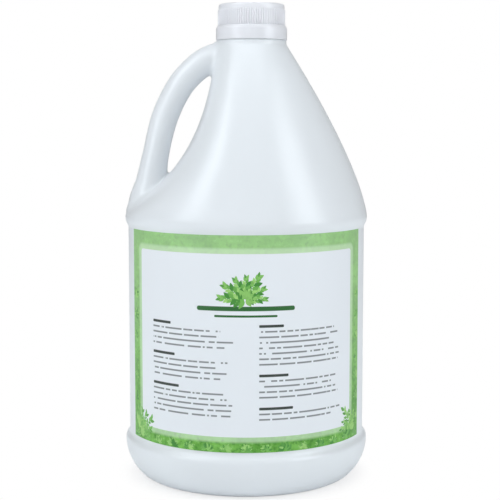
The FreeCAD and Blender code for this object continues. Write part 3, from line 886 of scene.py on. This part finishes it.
def field_mask(left, right, low, high, corner=0.0, soft=0.12):
    """1 inside a rectangle of the flat label with rounded corners, 0 outside."""
    dx = (abs(across - (left + right) / 2) - ((right - left) / 2 - corner)).larger(0.0)
    dy = (abs(up - (low + high) / 2) - ((high - low) / 2 - corner)).larger(0.0)
    away = (dx * dx + dy * dy).math("SQRT") - corner
    return 1.0 - away.step(0.0, soft)


PITCH, BAR, BAR_SOFT, WORD, WORD_SHIFT, RAGGED = 3.3, 1.0, 0.08, 1.25, 7.0, 12.0


def text_rows(left, right, low, high, seed):
    """Rows of grey bars with gaps between words and ragged ends."""
    lines = (up - low) / PITCH
    row = lines.floor()
    in_row = 1.0 - (abs(lines.part() - 0.5) * PITCH).step(BAR / 2 - BAR_SOFT, BAR / 2 + BAR_SOFT)
    jump = film.add("ShaderNodeTexWhiteNoise", {"noise_dimensions": "1D"}, {"W": row + seed})
    column = (across / WORD + jump * WORD_SHIFT).floor()
    place = film.add("ShaderNodeCombineXYZ", None, {0: column, 1: row})
    word = film.add("ShaderNodeTexWhiteNoise", {"noise_dimensions": "2D"}, {"Vector": place})
    inked = word.step(0.16, 0.2)
    ragged = 1.0 - (across + jump * RAGGED).step(right, right + 0.3)
    return in_row * inked * ragged * field_mask(left, right, low, high)


FIELD = (-77.0, 77.0, 9.5, 120.0)
MARGIN = 2.2
PRINT_EDGE = LABEL_W / 2 - MARGIN
haze = film.noise(scale=0.055, detail=3.0, roughness=0.6, where=spot)
leafy = film.noise(scale=0.30, detail=4.0, roughness=0.7, where=spot)
border = film.mix(haze.step(0.35, 0.65), tint(84, 156, 44), tint(120, 190, 76))
border = film.mix(leafy.step(0.48, 0.66) * 0.7, border, tint(54, 122, 28))
border = film.mix(leafy.step(0.30, 0.44) * -0.5 + 0.5, border, tint(176, 222, 138))
border = film.mix(up.step(LABEL_H * 0.1, LABEL_H) * 0.5, border, tint(190, 226, 172))
paper = tint(235, 238, 242)
inside = field_mask(*FIELD, corner=2.0)
glow = field_mask(FIELD[0] - 2, FIELD[1] + 2, FIELD[2] - 2, FIELD[3] + 2, corner=3.0, soft=2.4)
ground = film.mix(glow * 0.5, border, tint(222, 242, 210))
edge = field_mask(-PRINT_EDGE, PRINT_EDGE, -5, LABEL_H + 5, soft=1.4)
ground = film.mix(edge, paper, ground)
ground = film.mix(inside, ground, paper)
print("border round a field of", FIELD)

# %% Bars in place of small print
SEED_STEP = 13.0
BLOCKS = [(-64.0, -6.0, 62.0, 4), (-64.0, -6.0, 43.0, 4), (-64.0, -6.0, 20.5, 5)]
BLOCKS += [(8.0, 66.0, 52.0, 7), (8.0, 66.0, 32.0, 4), (8.0, 66.0, 18.5, 2)]
print_mask = 0.0
heading_mask = 0.0
for number, (left, right, low, rows) in enumerate(BLOCKS):
    high = low + rows * PITCH
    print_mask = text_rows(left, right, low, high, SEED_STEP * number).larger(print_mask)
    heading = field_mask(left, left + 15.0 + 3.0 * (number % 3), high + 0.9, high + 2.4, corner=0.4)
    heading_mask = heading.larger(heading_mask)
title = field_mask(-30.0, 30.0, 86.0, 88.6, corner=1.2)
title = title.larger(field_mask(-19.0, 19.0, 82.2, 83.4, corner=0.5))
ground = film.mix(print_mask * 0.8, ground, tint(84, 88, 86))
ground = film.mix(heading_mask, ground, tint(52, 60, 54))
ground = film.mix(title, ground, tint(34, 100, 38))
grain = film.noise(scale=1200.0, detail=1.0)
film.shade(
    Base_Color=ground,
    Roughness=haze * 0.08 + 0.34,
    Normal=film.bump(grain, 0.00001, 0.3),
    IOR=1.5,
)
print("blocks of bars:", len(BLOCKS))

# %% [markdown]
# A sprig is leaves set in pairs along a stem, and a bunch is several stems in a fan. Geometry Nodes
# make both: leaves are placed on the points of a line, smaller towards the tip, and the finished
# stem is placed again on a second set of points. The flat bunch is trimmed at the edge of the
# print, as a printer's knife would, and then bent onto the label, a few hundredths of a millimetre
# above the film.

# %% Leaf and its finish
leaf_ink = Finish("leaf_ink")
tone = leaf_ink.add("ShaderNodeAttribute", {"attribute_name": "tone"}, output="Fac")
shade = leaf_ink.mix(tone.step(0.0, 0.5), tint(62, 138, 48), tint(118, 186, 84))
shade = leaf_ink.mix(tone.step(0.5, 1.0), shade, tint(164, 214, 120))
mottle = leaf_ink.noise(scale=700.0, detail=3.0)
shade = leaf_ink.mix(mottle.step(0.4, 0.8) * 0.25, shade, tint(40, 104, 36))
leaf_ink.shade(Base_Color=shade, Roughness=mottle * 0.1 + 0.32)
LEAF_HALF, LEAF_FULLEST = 0.26, 0.8
leaf_points = [(0, 0, 0)]
for share in (0.2, 0.45, 0.7, 0.88):
    half = LEAF_HALF * math.sin(math.pi * share ** LEAF_FULLEST)
    leaf_points += [(-half, share, 0), (0, share, 0), (half, share, 0)]
leaf_points.append((0, 1, 0))
leaf_faces = [[0, 2, 1], [0, 3, 2]]
for base in (1, 4, 7):
    leaf_faces += [[base, base + 1, base + 4, base + 3], [base + 1, base + 2, base + 5, base + 4]]
leaf_faces += [[10, 11, 13], [11, 12, 13]]
leaf_mesh = bpy.data.meshes.new("leaf")
leaf_mesh.from_pydata(leaf_points, [], leaf_faces)
print("one leaf:", len(leaf_faces), "faces")

# %% Bunch of sprigs as a node tree
SPRIG_INPUTS = [("Leaf", "Object"), ("Leaves", "Int"), ("Stems", "Int"), ("Length", "Float")]
SPRIG_INPUTS += [("Leaf Size", "Float"), ("Spread", "Float"), ("Seed", "Int"), ("Finish", "Material")]
LAYER = 0.004
sprigs = Plan("bunch_of_sprigs", SPRIG_INPUTS)


def chance(low, high, offset):
    """Random number between two ends, different for each copy, from the bunch's own seed."""
    sockets = {2: low, 3: high, 8: sprigs.given["Seed"] + offset}
    return sprigs.add("FunctionNodeRandomValue", {"data_type": "FLOAT"}, sockets, 1)


index = sprigs.add("GeometryNodeInputIndex")
share = index / sprigs.given["Leaves"]
stem_points = sprigs.points(sprigs.given["Leaves"], sprigs.spot(Y=share * sprigs.given["Length"]))
side = index.math("MODULO", 2.0) * 2.0 - 1.0
leaf_turn = sprigs.spot(Z=side * (chance(0.75, 1.15, 1) - share * 0.5))
leaf_scale = sprigs.given["Leaf Size"] * (chance(0.9, 1.2, 2) - share * 0.55)
leaves = sprigs.copies(stem_points, sprigs.shape("Leaf"), Rotation=leaf_turn, Scale=leaf_scale)
options = {"data_type": "FLOAT", "domain": "INSTANCE"}
sockets = {"Geometry": leaves, "Name": "tone", "Value": chance(0.0, 1.0, 3)}
toned = sprigs.add("GeometryNodeStoreNamedAttribute", options, sockets)
stem = sprigs.add("GeometryNodeRealizeInstances", None, {"Geometry": toned})
fan_share = (index + 0.5) / sprigs.given["Stems"] - 0.5
fan_turn = sprigs.spot(Z=fan_share * sprigs.given["Spread"])
fan_points = sprigs.points(sprigs.given["Stems"], sprigs.spot(Z=index * LAYER))
sprigs.end(sprigs.copies(fan_points, stem, Rotation=fan_turn, Scale=chance(0.75, 1.1, 4)))
print("inputs of the bunch:", sorted(sprigs.keys))

# %% Bunches on the label
PRINT_LIFT, PRINT_FOOT = 0.02, 0.3
TRIMS = [((PRINT_EDGE, 0, 0), (1, 0, 0)), ((-PRINT_EDGE, 0, 0), (-1, 0, 0))]
TRIMS += [((0, PRINT_FOOT, 0), (0, -1, 0))]


def printed_sprigs(name, places, **sizes):
    """Piece with a bunch at each place: across and up on the flat label, degrees turned, and a seed."""
    together = bmesh.new()
    leaf = put("leaf", leaf_mesh)
    for x, y, turned, seed in places:
        one = put("bunch", bpy.data.meshes.new("bunch"))
        sprigs.on(one, Leaf=leaf, Finish=leaf_ink.owner, Seed=seed, **sizes)
        one.data.transform(Matrix.Translation((x, y, 0)) @ Matrix.Rotation(math.radians(turned), 4, "Z"))
        together.from_mesh(one.data)
        bpy.data.objects.remove(one)
    bpy.data.objects.remove(leaf)
    for spot, outwards in TRIMS:
        cut_away(together, spot, outwards)
    for point in together.verts:
        x, y, raised = point.co
        point.co = Vector(bent(x, y, LABEL_OUT + PRINT_LIFT + raised)) * MM
    mesh = bpy.data.meshes.new(name)
    together.to_mesh(mesh)
    together.free()
    mesh.materials.append(leaf_ink.owner)
    piece = put(name, mesh)
    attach(piece, "jug")
    return piece


low_row = [(-84.0 + 12.0 * step, 1.2, 0.0) for step in range(15)]
side_rows = [(side * 86.5, 12.0 + 13.0 * step, side * 12.0) for side in (-1, 1) for step in range(7)]
border_places = [(*place, 40 + number) for number, place in enumerate(low_row + side_rows)]
BORDER_SPRIG = {"Leaves": 7, "Stems": 3, "Length": 3.0, "Leaf_Size": 4.0, "Spread": 2.2}
CROWN_SPRIG = {"Leaves": 14, "Stems": 7, "Length": 15.0, "Leaf_Size": 6.0, "Spread": 3.6}
CORNER_SPRIG = {"Leaves": 12, "Stems": 5, "Length": 17.0, "Leaf_Size": 6.0, "Spread": 1.9}
bunches = [
    printed_sprigs("leafy_border", border_places, **BORDER_SPRIG),
    printed_sprigs("sprig_crown", [(0.0, 93.0, 0.0, 4)], **CROWN_SPRIG),
    printed_sprigs("sprig_left", [(-80.0, 5.0, -34.0, 11)], **CORNER_SPRIG),
    printed_sprigs("sprig_right", [(80.0, 5.0, 34.0, 23)], **CORNER_SPRIG),
]
print("faces printed:", [len(piece.data.polygons) for piece in bunches])

# %% [markdown]
# The studio is a white floor with no visible horizon, a dim warm surround for fill and six soft
# boxes. The tall ones to the left and right give the two upright bands of gloss on the shoulder, a
# wide one in front opens the shadows, one above lights the crown and the shoulder, one at the far
# left lights the handle, and one behind draws the edges. The camera sees the floor and the surround
# as plain white, but the floor still takes the jug's shadow.

# %% Floor and surround
bpy.context.scene.view_settings.view_transform = "Standard"
SHADOW_NEAR, SHADOW_FAR, VEIL, FLOOR_HALF, WHITE = 0.062, 0.085, 0.65, 6.0, (1, 1, 1, 1)
floor_corners = [(x * FLOOR_HALF, y * FLOOR_HALF, 0) for x, y in ((-1, -1), (1, -1), (1, 1), (-1, 1))]
floor_mesh = bpy.data.meshes.new("studio_floor")
floor_mesh.from_pydata(floor_corners, [], [[0, 1, 2, 3]])
floor = put("studio_floor", floor_mesh)
floor_white = Finish("floor_white")
floor_white.shade(Base_Color=tint(246, 247, 248), Roughness=0.9, Specular_IOR_Level=0.1)
seen_by_camera = floor_white.add("ShaderNodeLightPath", output="Is Camera Ray")
on_floor = floor_white.place()
from_jug = floor_white.add("ShaderNodeVectorMath", {"operation": "LENGTH"}, {0: on_floor}, "Value")
white = floor_white.add("ShaderNodeEmission", None, {"Color": WHITE, "Strength": 1.0})
lit = Field(floor_white, floor_white.shader.outputs[0])
share_white = seen_by_camera * (from_jug.step(SHADOW_NEAR, SHADOW_FAR) * (1 - VEIL) + VEIL)
veil = floor_white.add("ShaderNodeMixShader", None, {0: share_white, 1: lit, 2: white})
floor_white.links.new(veil.socket, floor_white.nodes["Material Output"].inputs["Surface"])
floor_mesh.materials.append(floor_white.owner)

FILL, FILL_TINT = 0.21, (1.0, 0.93, 0.84, 1.0)
surround = Finish("studio_surround", bpy.data.worlds, "Background")
bpy.context.scene.world = surround.owner
direct = surround.add("ShaderNodeLightPath", output="Is Camera Ray")
through = surround.add("ShaderNodeLightPath", output="Is Transmission Ray")
seen = direct.larger(through)
surround.shade(Color=surround.mix(seen, FILL_TINT, WHITE), Strength=seen * (1 - FILL) + FILL)
print("fill light", FILL)

# %% Soft boxes
LAMP_TINT = (0.88, 0.945, 1.0)


def soft_box(name, azimuth, height, distance, size, watts, aim):
    """Area lamp at an azimuth from the camera, positive to the right, aimed at a height on the axis."""
    data = bpy.data.lights.new(name, "AREA")
    data.shape = "RECTANGLE"
    data.size, data.size_y = size
    data.energy = watts
    data.color = LAMP_TINT
    lamp = put(name, data)
    angle = math.radians(azimuth)
    lamp.location = (distance * math.sin(angle), -distance * math.cos(angle), height)
    lamp.rotation_euler = (Vector((0, 0, aim)) - lamp.location).to_track_quat("-Z", "Y").to_euler()
    return lamp


LEVEL, AT_JUG, TALL = 0.95, 0.16, (0.60, 1.7)
lamps = [
    soft_box("left_box", -53, 0.95, 1.2, TALL, watts=8.8, aim=LEVEL),
    soft_box("right_box", 60, 0.95, 1.2, TALL, watts=10.6, aim=LEVEL),
    soft_box("top_box", 0, 1.6, 0.3, (1.0, 0.5), watts=3.8, aim=AT_JUG),
    soft_box("front_box", -6, 0.8, 2.2, (2.4, 1.6), watts=5.5, aim=AT_JUG),
    soft_box("side_box", -72, 1.25, 0.9, (0.6, 0.8), watts=2.9, aim=AT_JUG),
    soft_box("back_box", 180, 1.9, 1.0, (0.9, 0.9), watts=11.0, aim=AT_JUG),
]
print("lamps:", [lamp.name for lamp in lamps])
